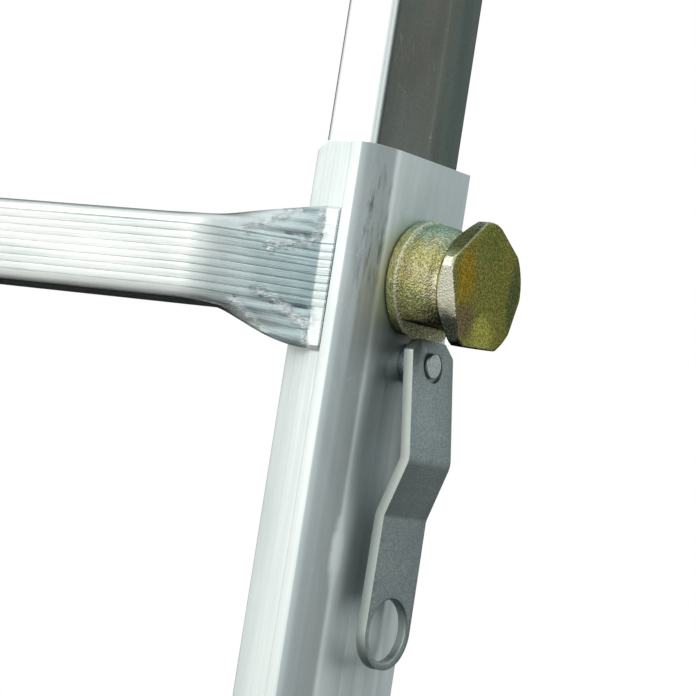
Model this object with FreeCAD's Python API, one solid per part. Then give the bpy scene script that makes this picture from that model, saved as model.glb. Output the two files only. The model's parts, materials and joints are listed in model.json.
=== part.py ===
import FreeCAD, Part

import math
import os

# Two-section extension ladder.  Millimetres.  +X runs along the rungs, the climber
# stands on the -Y side, +Z is up.  The origin is on the floor, at the middle of the
# ladder's box.  A distance called "out" is measured outwards along X from the outer
# face of an outer stile's web; the lock's pieces are placed with it.

# ---- driving dimensions -------------------------------------------------------------

OVERALL_WIDTH = 430.0           # outer face to outer face of the outer webs
RUNG_SPACING = 280.0
OUTER_RUNGS = 4
INNER_RUNGS = 5
FIRST_RUNG_Z = 250.0

# outer stile: a C section that opens towards the ladder's middle
OUTER_DEPTH = 61.0              # front panel face to back flange face
OUTER_WALL = 2.0
SLOPE_START = 13.1              # the web starts to lean in this far behind the panel face
SLOPE_MID = 3.7
SLOPE_MID_IN = 1.7
RIDGE_PROUD = 2.2               # raised bead along the front corner
RIDGE_IN = 5.9
RIDGE_WIDTH = 4.8
OUTER_TOP_ABOVE_LOCK = 44.4
STILE_CORNER_CHAMFER = 4.0

# inner stile: a closed box section
INNER_WIDTH = 23.0
INNER_WALL = 2.0
INNER_CORNER = 4.0
SIDE_GAP = 1.5                  # between the outer web and the inner stile
FACE_GAP = 0.45                 # between the outer flanges and the inner stile
INNER_TOP_ABOVE_RUNG = 60.0
INNER_BOTTOM_GAP = 4.0          # inner plug above the shoe's floor

# outer rung: a tube with both ends pressed flat on the front panels
RUNG_DEPTH = 30.0
RUNG_HEIGHT = 31.0
RUNG_WALL = 1.1
RUNG_CORNER = 4.0
RUNG_SET_OFF = 0.2              # tube's back face in front of the panel face
RUNG_END_HEIGHT = 50.0
RUNG_END_GAP = 0.3              # pressed end to the ridge
RUNG_CRUSH_LENGTH = 32.0
RUNG_CRUSH_SLIT = 0.2
RUNG_BELOW_LOCK = 4.5           # outer rung's centre below the lock's axis

# inner rung: a round tube with a swaged bead at each inner stile
INNER_RUNG_R = 12.0
INNER_RUNG_WALL = 1.6
BEAD_R = 14.5
BEAD_WIDTH = 3.0
FIT_GAP = 0.05                  # radial gap of sliding and seated round fits

# lock: barrel, bolt and spring behind a pull knob
LOCK_BEHIND_FRONT = 38.8        # lock axis behind the panel face
BARREL_WALL = 1.95
BARREL_FLANGE_WIDTH = 6.0
BARREL_FLANGE = 2.0
NOSE_R = 6.0
NOSE_CHAMFER = 1.2
NOSE_CLEAR = 1.1                # withdrawn nose to the inner stile
BOLT_TRAVEL = 9.0
COLLAR_STEP = 1.0
COLLAR_LENGTH = 3.0
TAIL_R = 3.1
TAIL_BEYOND_BARREL = 4.2
END_PLUG = 1.8
SPRING_SPACE = 6.2
SPRING_WIRE = 1.1
SPRING_TURNS = 3.0
SPRING_SIDES = 10               # flats round the wire
LOCK_HOLE_GAP = 0.4

# knob: a spool with a round lip on the web and a five-sided cap
LIP_R = 23.0
LIP_WIDTH = 4.8
SKIRT_R = 21.9
SKIRT_END = 8.5
WAIST_R = 18.0
CAP_R = 24.3
CAP_DEPTH = 4.5
CAP_CONE = 5.5
CAP_EDGE = 1.0
# direction of each flat, seen from outside, and its distance from the axis
CAP_FLATS = ((203.0, 19.9), (131.0, 21.2), (59.0, 22.2), (-18.0, 22.6), (-87.0, 21.3))
KNOB_FACE_WALL = 3.0
KNOB_TAIL_GAP = 1.3
KNOB_RECESS_GAP = 1.2
LIP_FLAT_DEPTH = 3.4            # flat milled on the underside of the lip
FLAT_CLEAR = 0.4                # lever's shoulders to the flat under the skirt

# catch lever: a cranked plate that hangs from a post below the knob
LEVER_THICK = 3.9
LEVER_TOP = 9.0                 # plate's top edge above the pivot
LEVER_TOP_HALF = 8.0
LEVER_SHOULDER = 4.3
LEVER_HALF = 13.3
LEVER_END_R = 14.2
LEVER_TOP_CLEAR = 0.8           # plate's top edge to the lip's flat
LEVER_LIP_GAP = 0.9             # plate's back to the lip's front
LEVER_KNEE_OUT = 6.5            # how far the plate leans out between its top and its knee
LEVER_LOW_GAP = 5.2             # web to the back of the plate's lower part
LEVER_KNEE_BELOW = 34.6         # bends, below the pivot
LEVER_HEEL_BELOW = 55.6
LEVER_BEND_R = 5.0
LEVER_HOLE_BELOW = 96.5
LEVER_HOLE_R = 11.35
LEVER_HOLE_EDGE = 0.9

# pivot post, riveted into the web
POST_R = 3.5
POST_SPACER_R = 7.0
POST_SPACER_GAP = 0.7           # spacer to the plate's back at its top edge
POST_HEAD_R = 4.6
POST_HEAD_GAP = 0.2
POST_HEAD = 1.3
POST_SINK_R = 6.2
POST_SINK_OUT = 0.5             # floor of the sink round the head, from the plate's top edge
RIVET_HEAD = 0.8
POST_RIVET_R = 5.0

# barrel rivets, shoe rivets
SMALL_RIVET_R = 1.6
SMALL_RIVET_HEAD_R = 2.8
SHOE_RIVET_R = 2.5
SHOE_RIVET_HEAD_R = 5.0
SHOE_RIVET_HEAD = 2.0

# shoes, plugs and caps
SHOE_WALL = 4.0
SHOE_SOLE = 10.0
SHOE_HEIGHT = 55.0
SHOE_CORNER = 5.0
TREAD_GROOVES = 4
TREAD_WIDTH = 5.0
TREAD_DEPTH = 2.5
PLUG_DEPTH = 25.0
PLUG_FLANGE = 3.0
PLUG_GAP = 0.1

# ---- places worked out from them ----------------------------------------------------

WEB_X = OVERALL_WIDTH / 2
TOTAL_DEPTH = SHOE_WALL + OUTER_DEPTH + RUNG_SET_OFF + RUNG_DEPTH
BACK_Y = TOTAL_DEPTH / 2 - SHOE_WALL
PANEL_Y = BACK_Y - OUTER_DEPTH
RIDGE_Y = PANEL_Y - RIDGE_PROUD
LOCK_Y = PANEL_Y + LOCK_BEHIND_FRONT
RUNG_BACK_Y = PANEL_Y - RUNG_SET_OFF
RUNG_FRONT_Y = RUNG_BACK_Y - RUNG_DEPTH

OUTER_LEVELS = [FIRST_RUNG_Z + i * RUNG_SPACING for i in range(OUTER_RUNGS)]
INNER_LEVELS = [FIRST_RUNG_Z + RUNG_BELOW_LOCK + i * RUNG_SPACING for i in range(INNER_RUNGS)]
LOCK_Z = OUTER_LEVELS[-1] + RUNG_BELOW_LOCK
OUTER_TOP_Z = LOCK_Z + OUTER_TOP_ABOVE_LOCK

INNER_SIDE_OUT = -OUTER_WALL - SIDE_GAP
OUTER_FLANGE = INNER_WIDTH - INNER_SIDE_OUT     # flange edges flush with the inner stile
INNER_FRONT_Y = PANEL_Y + OUTER_WALL + FACE_GAP
INNER_BACK_Y = BACK_Y - OUTER_WALL - FACE_GAP
INNER_BOTTOM_Z = SHOE_SOLE + INNER_BOTTOM_GAP + PLUG_FLANGE
INNER_TOP_Z = INNER_LEVELS[-1] + INNER_TOP_ABOVE_RUNG

COLLAR_R = NOSE_R + COLLAR_STEP
BARREL_R = COLLAR_R + FIT_GAP + BARREL_WALL
BARREL_FLANGE_R = BARREL_R + BARREL_FLANGE_WIDTH
BARREL_RIVET_RADIUS = BARREL_R + BARREL_FLANGE_WIDTH / 2
NOSE_TIP = INNER_SIDE_OUT + NOSE_CLEAR
COLLAR_BACK = BOLT_TRAVEL
COLLAR_FRONT = COLLAR_BACK + COLLAR_LENGTH
PLUG_BACK = COLLAR_FRONT + SPRING_SPACE
BARREL_END = PLUG_BACK + END_PLUG
TAIL_END = BARREL_END + TAIL_BEYOND_BARREL
LOCK_HOLE_R = NOSE_R + LOCK_HOLE_GAP

CAP_FACE = TAIL_END + KNOB_TAIL_GAP + KNOB_FACE_WALL
CAP_BACK = CAP_FACE - CAP_DEPTH
WAIST_AT = CAP_BACK - CAP_CONE
LIP_FLAT = LIP_R - LIP_FLAT_DEPTH
PIVOT_BELOW_LOCK = LIP_FLAT + LEVER_TOP_CLEAR + LEVER_TOP
SKIRT_FLAT = PIVOT_BELOW_LOCK - math.hypot(LEVER_HALF, LEVER_SHOULDER) - FLAT_CLEAR
PIVOT_Z = LOCK_Z - PIVOT_BELOW_LOCK

LEVER_FRONT_TOP = LIP_WIDTH + LEVER_LIP_GAP + LEVER_THICK
LEVER_FRONT_KNEE = LEVER_FRONT_TOP + LEVER_KNEE_OUT
LEVER_FRONT_LOW = LEVER_LOW_GAP + LEVER_THICK
POST_SPACER = LIP_WIDTH + LEVER_LIP_GAP - POST_SPACER_GAP
SINK_FLOOR = LEVER_FRONT_TOP + POST_SINK_OUT
POST_HEAD_BACK = SINK_FLOOR + POST_HEAD_GAP

X_AXIS = FreeCAD.Vector(1, 0, 0)
Y_AXIS = FreeCAD.Vector(0, 1, 0)
Z_AXIS = FreeCAD.Vector(0, 0, 1)


# ---- helpers ------------------------------------------------------------------------

def rounded_outline(corners, place):
    """Closed wire through corners (a, b, radius); place turns (a, b) into a 3-D point."""
    edges = []
    arcs = []
    count = len(corners)
    for i in range(count):
        a, b, radius = corners[i]
        here = FreeCAD.Vector(a, b, 0)
        before = FreeCAD.Vector(*corners[i - 1][:2], 0)
        after = FreeCAD.Vector(*corners[(i + 1) % count][:2], 0)
        if radius <= 0:
            arcs.append((here, None, here))
            continue
        to_before = (before - here).normalize()
        to_after = (after - here).normalize()
        half = to_before.getAngle(to_after) / 2
        reach = radius / math.tan(half)
        middle = (to_before + to_after).normalize()
        centre = here + middle * (radius / math.sin(half))
        arcs.append((here + to_before * reach, centre - middle * radius, here + to_after * reach))
    for i in range(count):
        start, mid, end = arcs[i]
        following = arcs[(i + 1) % count][0]
        if mid is not None:
            points = [place(p.x, p.y) for p in (start, mid, end)]
            edges.append(Part.Arc(*points).toShape())
        if end.distanceToPoint(following) > 1e-6:
            edges.append(Part.makeLine(place(end.x, end.y), place(following.x, following.y)))
    return Part.Wire(edges)


def column(corners, z_low, z_high):
    """Upright prism on an (x, y) outline."""
    wire = rounded_outline(corners, lambda a, b: FreeCAD.Vector(a, b, z_low))
    return Part.Face(wire).extrude(Z_AXIS * (z_high - z_low))


def block(x_low, x_high, y_low, y_high, z_low, z_high):
    size = (x_high - x_low, y_high - y_low, z_high - z_low)
    return Part.makeBox(*size, FreeCAD.Vector(x_low, y_low, z_low))


def rod(radius, out_low, out_high, y=LOCK_Y, z=LOCK_Z):
    """Round bar along X on the right-hand side, between two distances out."""
    start = FreeCAD.Vector(WEB_X + out_low, y, z)
    return Part.makeCylinder(radius, out_high - out_low, start, X_AXIS)


def turned(profile, y=LOCK_Y, z=LOCK_Z):
    """Solid turned about an X axis from a closed (out, radius) profile."""
    wire = rounded_outline(profile, lambda a, b: FreeCAD.Vector(WEB_X + a, y, z + b))
    return Part.Face(wire).revolve(FreeCAD.Vector(WEB_X, y, z), X_AXIS, 360)


def other_side(shape):
    return shape.mirror(FreeCAD.Vector(0, 0, 0), X_AXIS)


def save(name, shape):
    solids = shape.Solids
    whole = solids[0] if len(solids) == 1 else Part.makeCompound(solids)
    whole.exportStep(os.path.join("parts", name + ".step"))


def save_pair(name, right_shape):
    """A piece of the right-hand side and its mirror image."""
    save("right_" + name, right_shape)
    save("left_" + name, other_side(right_shape))


# ---- outer section ------------------------------------------------------------------

def outer_stile():
    """C section with a leaning front corner, a ridge, and holes for barrel and post."""
    web = WEB_X
    inside = web - OUTER_WALL
    edge = web - OUTER_FLANGE
    slope_y = PANEL_Y + SLOPE_START
    mid_y = PANEL_Y + SLOPE_MID
    front_inside = PANEL_Y + OUTER_WALL
    back_inside = BACK_Y - OUTER_WALL
    ridge_far = web - RIDGE_IN - RIDGE_WIDTH
    section = [
        (web, BACK_Y, 0.8),
        (web, slope_y, 6.0),
        (web - SLOPE_MID_IN, mid_y, 3.0),
        (web - RIDGE_IN, RIDGE_Y, 0.8),
        (ridge_far, RIDGE_Y, 0.6),
        (ridge_far, PANEL_Y, 0.3),
        (edge, PANEL_Y, 0.7),
        (edge, front_inside, 0.7),
        (web - RIDGE_IN + 0.5, front_inside, 1.0),
        (inside - SLOPE_MID_IN, mid_y + 1.0, 2.0),
        (inside, slope_y, 5.0),
        (inside, back_inside, 0.8),
        (edge, back_inside, 0.7),
        (edge, BACK_Y, 0.7),
    ]
    body = column(section, SHOE_SOLE, OUTER_TOP_Z)
    barrel_hole = rod(BARREL_R + FIT_GAP, -2 * OUTER_WALL, OUTER_WALL)
    post_hole = rod(POST_R, -2 * OUTER_WALL, OUTER_WALL, z=PIVOT_Z)
    body = body.cut([barrel_hole, post_hole] + barrel_rivet_places(SMALL_RIVET_R))
    return body.cut(shoe_rivet_shanks() + [flange_corner_cutter()])


def flange_corner_cutter():
    """Wedge that takes the front flange's free top corner off."""
    edge = WEB_X - OUTER_FLANGE
    low = OUTER_TOP_Z - STILE_CORNER_CHAMFER
    reach = 1.0
    points = [
        FreeCAD.Vector(edge - reach, RIDGE_Y - reach, low - reach),
        FreeCAD.Vector(edge + STILE_CORNER_CHAMFER + reach, RIDGE_Y - reach, OUTER_TOP_Z + reach),
        FreeCAD.Vector(edge - reach, RIDGE_Y - reach, OUTER_TOP_Z + reach),
    ]
    wire = Part.makePolygon(points + points[:1])
    return Part.Face(wire).extrude(Y_AXIS * (RIDGE_PROUD + OUTER_WALL + 2 * reach))


def barrel_rivet_places(radius):
    """Shanks of the two rivets that hold a barrel's flange."""
    return [
        rod(radius, -OUTER_WALL, BARREL_FLANGE, y=LOCK_Y + side * BARREL_RIVET_RADIUS)
        for side in (-1, 1)
    ]


def shoe_rivet_levels():
    return [SHOE_SOLE + SHOE_HEIGHT * share for share in (0.35, 0.6)]


def shoe_rivet_shanks():
    return [
        rod(SHOE_RIVET_R, -OUTER_WALL, SHOE_WALL, z=level)
        for level in shoe_rivet_levels()
    ]


def outline_in_yz(x, half_height, y_low, y_high, z, corner):
    """Rounded rectangle in the plane of a rung's cross-section."""
    corners = [
        (y_low, z - half_height, corner),
        (y_high, z - half_height, corner),
        (y_high, z + half_height, corner),
        (y_low, z + half_height, corner),
    ]
    return rounded_outline(corners, lambda a, b: FreeCAD.Vector(x, a, b))


def outer_rung(z):
    """Tube with both ends pressed into flat tongues that lie on the front panels."""
    flange_edge = WEB_X - OUTER_FLANGE
    tube_end = flange_edge - RUNG_CRUSH_LENGTH
    tongue_end = WEB_X - RIDGE_IN - RIDGE_WIDTH - RUNG_END_GAP
    half = RUNG_HEIGHT / 2
    half_end = RUNG_END_HEIGHT / 2
    wall = RUNG_WALL
    tongue = 2 * wall + RUNG_CRUSH_SLIT
    tongue_corner = tongue * 0.4
    slit_corner = RUNG_CRUSH_SLIT * 0.4

    def tube(x):
        return outline_in_yz(x, half, RUNG_FRONT_Y, RUNG_BACK_Y, z, RUNG_CORNER)

    def tube_inside(x):
        y_low = RUNG_FRONT_Y + wall
        y_high = RUNG_BACK_Y - wall
        return outline_in_yz(x, half - wall, y_low, y_high, z, RUNG_CORNER - wall)

    def tongue_outline(x):
        return outline_in_yz(x, half_end, PANEL_Y - tongue, PANEL_Y, z, tongue_corner)

    def slit(x):
        y_high = PANEL_Y - wall
        return outline_in_yz(x, half_end - wall, y_high - RUNG_CRUSH_SLIT, y_high, z, slit_corner)

    def from_to(wire, x):
        return Part.Face(wire).extrude(X_AXIS * x)

    solids = [from_to(tube(-tube_end), 2 * tube_end)]
    hollows = [from_to(tube_inside(-tube_end), 2 * tube_end)]
    for side in (-1, 1):
        begin = side * tube_end
        finish = side * flange_edge
        solids.append(Part.makeLoft([tube(begin), tongue_outline(finish)], True, True))
        solids.append(from_to(tongue_outline(finish), side * tongue_end - finish))
        hollows.append(Part.makeLoft([tube_inside(begin), slit(finish)], True, True))
        hollows.append(from_to(slit(finish), side * tongue_end - finish))
    body = solids[0].fuse(solids[1:])
    return body.cut(hollows).removeSplitter()


def shoe():
    """Rubber shoe: a cup round the stile's foot with a grooved sole."""
    low_x = WEB_X - OUTER_FLANGE - SHOE_WALL
    high_x = WEB_X + SHOE_WALL
    low_y = RIDGE_Y - SHOE_WALL
    high_y = BACK_Y + SHOE_WALL
    outline = [
        (low_x, low_y, SHOE_CORNER),
        (high_x, low_y, SHOE_CORNER),
        (high_x, high_y, SHOE_CORNER),
        (low_x, high_y, SHOE_CORNER),
    ]
    cup = column(outline, 0, SHOE_SOLE + SHOE_HEIGHT)
    pocket = column(stile_envelope(PLUG_GAP), SHOE_SOLE, SHOE_SOLE + SHOE_HEIGHT + SHOE_WALL)
    pitch = (high_x - low_x) / (TREAD_GROOVES + 1)
    grooves = []
    for i in range(TREAD_GROOVES):
        middle = low_x + (i + 1) * pitch
        grooves.append(
            block(middle - TREAD_WIDTH / 2, middle + TREAD_WIDTH / 2, low_y, high_y, 0, TREAD_DEPTH)
        )
    return cup.cut([pocket] + shoe_rivet_shanks() + grooves)


def stile_envelope(gap):
    """Outline of the space that the outer stile fills, open side included."""
    return [
        (WEB_X + gap, BACK_Y + gap, 0.8),
        (WEB_X + gap, PANEL_Y + SLOPE_START, 6.0),
        (WEB_X - SLOPE_MID_IN + gap, PANEL_Y + SLOPE_MID - gap, 3.0),
        (WEB_X - RIDGE_IN + gap, RIDGE_Y - gap, 0.8),
        (WEB_X - OUTER_FLANGE - gap, RIDGE_Y - gap, 0.8),
        (WEB_X - OUTER_FLANGE - gap, BACK_Y + gap, 0.8),
    ]


def shoe_rivets():
    """Two blind rivets through each shoe's outer wall and the web."""
    solids = []
    for level in shoe_rivet_levels():
        shank = rod(SHOE_RIVET_R, -OUTER_WALL, SHOE_WALL, z=level)
        head = rod(SHOE_RIVET_HEAD_R, SHOE_WALL, SHOE_WALL + SHOE_RIVET_HEAD, z=level)
        rim = [edge for edge in head.Edges if edge.BoundBox.XMin > WEB_X + SHOE_WALL + SHOE_RIVET_HEAD / 2]
        head = head.makeFillet(SHOE_RIVET_HEAD * 0.6, rim)
        solids.append(shank.fuse(head))
    return Part.makeCompound(solids + [other_side(solid) for solid in solids])


# ---- inner section ------------------------------------------------------------------

def inner_outline(gap):
    """Corners of the inner stile's outside, moved in by gap."""
    low_x = WEB_X + INNER_SIDE_OUT - INNER_WIDTH + gap
    high_x = WEB_X + INNER_SIDE_OUT - gap
    corner = INNER_CORNER - gap
    return [
        (low_x, INNER_FRONT_Y + gap, corner),
        (high_x, INNER_FRONT_Y + gap, corner),
        (high_x, INNER_BACK_Y - gap, corner),
        (low_x, INNER_BACK_Y - gap, corner),
    ]


def inner_stile():
    """Box section with a lock hole and a rung hole at every rung."""
    body = column(inner_outline(0), INNER_BOTTOM_Z, INNER_TOP_Z)
    hollow = column(inner_outline(INNER_WALL), INNER_BOTTOM_Z, INNER_TOP_Z)
    side = INNER_SIDE_OUT
    holes = []
    for level in INNER_LEVELS:
        holes.append(rod(LOCK_HOLE_R, side - 2 * INNER_WALL, side + INNER_WALL, z=level))
        far_wall = side - INNER_WIDTH
        holes.append(rod(INNER_RUNG_R + FIT_GAP, far_wall - INNER_WALL, far_wall + 2 * INNER_WALL, z=level))
    return body.cut([hollow] + holes)


def inner_rung(z):
    """Round tube from stile to stile, with a swaged bead against each inner wall."""
    half = WEB_X + INNER_SIDE_OUT - INNER_WALL
    stile_face = WEB_X + INNER_SIDE_OUT - INNER_WIDTH
    start = FreeCAD.Vector(-half, LOCK_Y, z)
    body = Part.makeCylinder(INNER_RUNG_R, 2 * half, start, X_AXIS)
    for side in (-1, 1):
        inner_end = FreeCAD.Vector(side * stile_face, LOCK_Y, z)
        bead = Part.makeCylinder(BEAD_R, BEAD_WIDTH, inner_end, X_AXIS * -side)
        body = body.fuse(bead.makeFillet(BEAD_WIDTH * 0.3, bead.Edges[0:1] + bead.Edges[2:3]))
    bore = Part.makeCylinder(INNER_RUNG_R - INNER_RUNG_WALL, 2 * half, start, X_AXIS)
    return body.cut(bore).removeSplitter()


def stile_plug(end_z, up):
    """Plug in an inner stile's end; its flange covers the cut edge."""
    low, high = sorted((end_z, end_z + up * PLUG_FLANGE))
    flange = column(inner_outline(0), low, high)
    low, high = sorted((end_z, end_z - up * PLUG_DEPTH))
    core = column(inner_outline(INNER_WALL + PLUG_GAP), low, high)
    return flange.fuse(core).removeSplitter()


# ---- lock ---------------------------------------------------------------------------

def barrel():
    """Flanged sleeve through the web; it guides the bolt inside and the knob outside."""
    profile = [
        (-OUTER_WALL, NOSE_R + FIT_GAP, 0),
        (-OUTER_WALL, BARREL_R, 0),
        (0, BARREL_R, 0),
        (0, BARREL_FLANGE_R, 0),
        (BARREL_FLANGE, BARREL_FLANGE_R, 0.6),
        (BARREL_FLANGE, BARREL_R, 0),
        (BARREL_END, BARREL_R, 0),
        (BARREL_END, COLLAR_R + FIT_GAP, 0),
        (0, COLLAR_R + FIT_GAP, 0),
        (0, NOSE_R + FIT_GAP, 0),
    ]
    return turned(profile).cut(barrel_rivet_places(SMALL_RIVET_R))


def barrel_plug():
    """Ring in the barrel's outer end; the spring bears on it."""
    profile = [
        (PLUG_BACK, TAIL_R + FIT_GAP, 0),
        (PLUG_BACK, COLLAR_R + FIT_GAP, 0),
        (BARREL_END, COLLAR_R + FIT_GAP, 0),
        (BARREL_END, TAIL_R + FIT_GAP, 0),
    ]
    return turned(profile)


def barrel_rivets():
    """Flush rivets through the barrel flanges, with low formed heads inside the web."""
    solids = []
    for side in (-1, 1):
        y = LOCK_Y + side * BARREL_RIVET_RADIUS
        shank = rod(SMALL_RIVET_R, -OUTER_WALL, BARREL_FLANGE, y=y)
        head = rod(SMALL_RIVET_HEAD_R, -OUTER_WALL - RIVET_HEAD, -OUTER_WALL, y=y)
        solids.append(shank.fuse(head))
    return Part.makeCompound(solids + [other_side(solid) for solid in solids])


def bolt():
    """Lock bolt: nose, stop collar and tail."""
    profile = [
        (NOSE_TIP, 0, 0),
        (NOSE_TIP, NOSE_R - NOSE_CHAMFER, 0),
        (NOSE_TIP + NOSE_CHAMFER, NOSE_R, 0),
        (COLLAR_BACK, NOSE_R, 0),
        (COLLAR_BACK, COLLAR_R, 0),
        (COLLAR_FRONT, COLLAR_R, 0),
        (COLLAR_FRONT, TAIL_R, 0),
        (TAIL_END, TAIL_R, 0.6),
        (TAIL_END, 0, 0),
    ]
    return turned(profile)


def spring():
    """Compression spring between the bolt's collar and the barrel's plug."""
    length = PLUG_BACK - COLLAR_FRONT - SPRING_WIRE
    radius = COLLAR_R - SPRING_WIRE / 2 - 4 * FIT_GAP
    helix = Part.makeHelix(length / SPRING_TURNS, length, radius)
    ring = []
    for i in range(SPRING_SIDES):
        turn = 2 * math.pi * i / SPRING_SIDES
        across = SPRING_WIRE / 2 * math.cos(turn)
        along = SPRING_WIRE / 2 * math.sin(turn)
        ring.append(FreeCAD.Vector(radius + across, 0, along))
    section = Part.makePolygon(ring + ring[:1])
    coil = Part.Wire(helix).makePipeShell([section], True, True)
    coil.rotate(FreeCAD.Vector(0, 0, 0), Y_AXIS, 90)
    coil.translate(FreeCAD.Vector(WEB_X + COLLAR_FRONT + SPRING_WIRE / 2, LOCK_Y, LOCK_Z))
    return coil


def knob():
    """Spool: lip, skirt, waist and five-sided cap, bored to slide on the barrel."""
    bore_r = BARREL_R + FIT_GAP
    recess_r = BARREL_FLANGE_R + KNOB_RECESS_GAP
    recess = BARREL_FLANGE + KNOB_RECESS_GAP / 2
    profile = [
        (0, recess_r, 0),
        (0, LIP_R, 0.8),
        (LIP_WIDTH, LIP_R, 0.5),
        (LIP_WIDTH + 0.7, SKIRT_R, 0),
        (SKIRT_END, SKIRT_R, 6.0),
        (WAIST_AT, WAIST_R, 1.5),
        (CAP_BACK, CAP_R, 0.8),
        (CAP_FACE - CAP_EDGE, CAP_R, 0),
        (CAP_FACE, CAP_R - CAP_EDGE, 0),
        (CAP_FACE, 0, 0),
        (CAP_FACE - KNOB_FACE_WALL, 0, 0),
        (CAP_FACE - KNOB_FACE_WALL, bore_r, 0),
        (recess, bore_r, 0),
        (recess, recess_r, 0),
    ]
    body = turned(profile)
    cutters = []
    cap_length = CAP_FACE - WAIST_AT + 1
    for direction, distance in CAP_FLATS:
        slab = Part.makeBox(cap_length, CAP_R, 4 * CAP_R, FreeCAD.Vector(0, distance, -2 * CAP_R))
        slab.rotate(FreeCAD.Vector(0, 0, 0), X_AXIS, direction)
        slab.translate(FreeCAD.Vector(WEB_X + WAIST_AT, LOCK_Y, LOCK_Z))
        cutters.append(slab)
    cutters.append(flat_cutter(-1, LIP_WIDTH, LIP_FLAT))
    cutters.append(flat_cutter(LIP_WIDTH, WAIST_AT + 1, SKIRT_FLAT))
    return body.cut(cutters)


def flat_cutter(out_low, out_high, below):
    """Block that mills a flat this far below the lock's axis."""
    x_low = WEB_X + out_low
    x_high = WEB_X + out_high
    reach = 2 * CAP_R
    return block(x_low, x_high, LOCK_Y - reach, LOCK_Y + reach, LOCK_Z - reach, LOCK_Z - below)


def lever():
    """Cranked plate with a finger hole, cut from its side profile and its outline."""
    top = PIVOT_Z + LEVER_TOP
    knee = PIVOT_Z - LEVER_KNEE_BELOW
    heel = PIVOT_Z - LEVER_HEEL_BELOW
    hole_z = PIVOT_Z - LEVER_HOLE_BELOW
    bottom = hole_z - LEVER_END_R
    front = [
        (LEVER_FRONT_TOP, top),
        (LEVER_FRONT_KNEE, knee),
        (LEVER_FRONT_LOW, heel),
        (LEVER_FRONT_LOW, bottom),
    ]
    back = offset_polyline(front, LEVER_THICK)
    convex = LEVER_BEND_R + LEVER_THICK
    radii = [0, convex, LEVER_BEND_R, 0]
    back_radii = [0, LEVER_BEND_R, convex, 0]
    corners = [(a, b, r) for (a, b), r in zip(front, radii)]
    corners += [(a, b, r) for (a, b), r in reversed(list(zip(back, back_radii)))]
    side_wire = rounded_outline(corners, lambda a, b: FreeCAD.Vector(WEB_X + a, -WEB_X, b))
    plate = Part.Face(side_wire).extrude(Y_AXIS * 2 * WEB_X)
    outline = [
        (LOCK_Y - LEVER_TOP_HALF, top, 1.5),
        (LOCK_Y + LEVER_TOP_HALF, top, 1.5),
        (LOCK_Y + LEVER_HALF, PIVOT_Z + LEVER_SHOULDER, 1.5),
        (LOCK_Y + LEVER_END_R, bottom, LEVER_END_R * 0.98),
        (LOCK_Y - LEVER_END_R, bottom, LEVER_END_R * 0.98),
        (LOCK_Y - LEVER_HALF, PIVOT_Z + LEVER_SHOULDER, 1.5),
    ]
    wire = rounded_outline(outline, lambda a, b: FreeCAD.Vector(WEB_X, a, b))
    stamp = Part.Face(wire).extrude(X_AXIS * 2 * LEVER_FRONT_KNEE)
    body = plate.common(stamp)
    reach = 2 * LEVER_FRONT_KNEE
    hole = rod(LEVER_HOLE_R, 0, reach, z=hole_z)
    pivot = rod(POST_R + FIT_GAP, 0, reach, z=PIVOT_Z)
    sink = rod(POST_SINK_R, SINK_FLOOR, reach, z=PIVOT_Z)
    body = body.cut([hole, pivot, sink])
    rims = [edge for edge in body.Edges if is_hole_rim(edge, hole_z)]
    return body.makeFillet(LEVER_HOLE_EDGE, rims)


def is_hole_rim(edge, hole_z):
    box = edge.BoundBox
    same_size = abs(box.ZLength - 2 * LEVER_HOLE_R) < 0.01
    return same_size and box.XLength < 0.01 and abs(box.Center.z - hole_z) < 0.01


def offset_polyline(points, distance):
    """The same polyline, moved towards -out by distance along its own normals."""
    count = len(points)
    normals = []
    for (a0, b0), (a1, b1) in zip(points, points[1:]):
        length = math.hypot(a1 - a0, b1 - b0)
        normals.append(((b1 - b0) / length, -(a1 - a0) / length))
    moved = []
    for i in range(count):
        first = normals[max(i - 1, 0)]
        second = normals[min(i, count - 2)]
        share = distance / (1 + first[0] * second[0] + first[1] * second[1])
        moved.append((
            points[i][0] + (first[0] + second[0]) * share,
            points[i][1] + (first[1] + second[1]) * share,
        ))
    return moved


def post():
    """Shouldered pivot post: formed head inside the web, spacer, journal and outer head."""
    inner_face = -OUTER_WALL
    profile = [
        (inner_face - RIVET_HEAD, 0, 0),
        (inner_face - RIVET_HEAD, POST_RIVET_R, 0.4),
        (inner_face, POST_RIVET_R, 0),
        (inner_face, POST_R, 0),
        (0, POST_R, 0),
        (0, POST_SPACER_R, 0),
        (POST_SPACER, POST_SPACER_R, 0.4),
        (POST_SPACER, POST_R, 0),
        (POST_HEAD_BACK, POST_R, 0),
        (POST_HEAD_BACK, POST_HEAD_R, 0),
        (POST_HEAD_BACK + POST_HEAD, POST_HEAD_R, 0.5),
        (POST_HEAD_BACK + POST_HEAD, 0, 0),
    ]
    return turned(profile, z=PIVOT_Z)


# ---- build --------------------------------------------------------------------------

def main():
    os.makedirs("parts", exist_ok=True)
    save_pair("outer_stile", outer_stile())
    for number, level in enumerate(OUTER_LEVELS, 1):
        save("outer_rung_%d" % number, outer_rung(level))
    save_pair("shoe", shoe())
    save("shoe_rivets", shoe_rivets())
    save_pair("inner_stile", inner_stile())
    for number, level in enumerate(INNER_LEVELS, 1):
        save("inner_rung_%d" % number, inner_rung(level))
    save_pair("top_cap", stile_plug(INNER_TOP_Z, 1))
    save_pair("bottom_plug", stile_plug(INNER_BOTTOM_Z, -1))
    save_pair("lock_barrel", barrel())
    save_pair("barrel_plug", barrel_plug())
    save("barrel_rivets", barrel_rivets())
    save_pair("lock_bolt", bolt())
    save_pair("lock_spring", spring())
    save_pair("lock_knob", knob())
    save_pair("catch_lever", lever())
    save_pair("lever_post", post())


main()
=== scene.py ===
import json
import math

import bmesh
import bpy
from mathutils import Matrix, Quaternion, Vector, noise


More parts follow.
